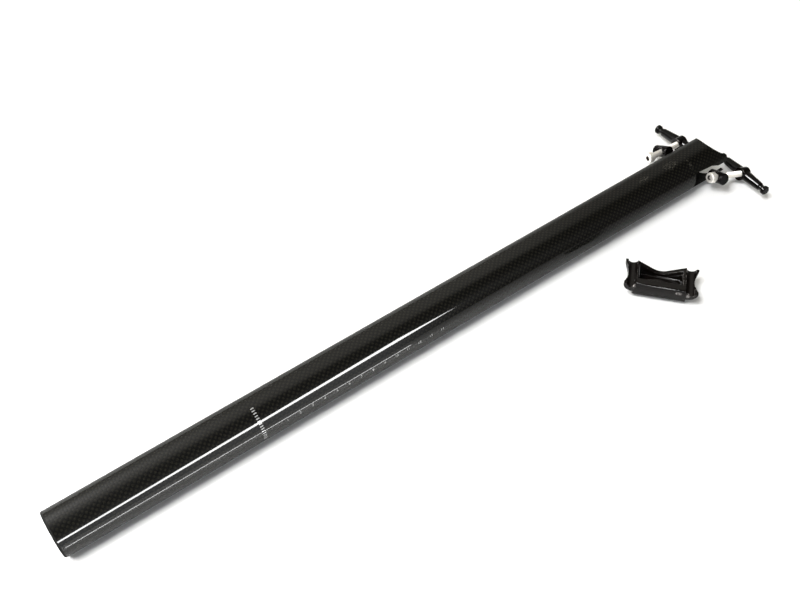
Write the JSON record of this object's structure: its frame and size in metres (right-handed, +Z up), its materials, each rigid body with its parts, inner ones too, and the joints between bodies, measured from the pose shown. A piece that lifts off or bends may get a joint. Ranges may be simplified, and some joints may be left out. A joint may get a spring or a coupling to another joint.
{
  "type": "bicycle seatpost",
  "caption": "Long carbon bicycle seatpost with a fish-mouth head. Its saddle clamp is open: clamp bars, bolts and barrel washers lie loose at the head and the lower cradle lies beside it.",
  "frame": {"origin": "on the tube's axis at its open bottom end", "axes": "+X along the tube towards the saddle head, +Z up as it lies on the table, +Y to the front clamp bar's side"},
  "size_m": [0.6033, 0.1505, 0.0338],
  "materials": {
    "carbon": "clear-coated woven carbon laminate, gloss",
    "black_metal": "black anodised aluminium, semi-gloss",
    "bright_steel": "bright plated steel"
  },
  "bodies": {
    "root": {"post_tube": "carbon", "lower_cradle": "black_metal", "front_clamp_bar": "black_metal", "rear_clamp_bar": "black_metal", "front_barrel_washer": "black_metal", "rear_barrel_washer": "black_metal", "front_bolt": "bright_steel", "rear_bolt": "bright_steel"}
  },
  "joints": []
}
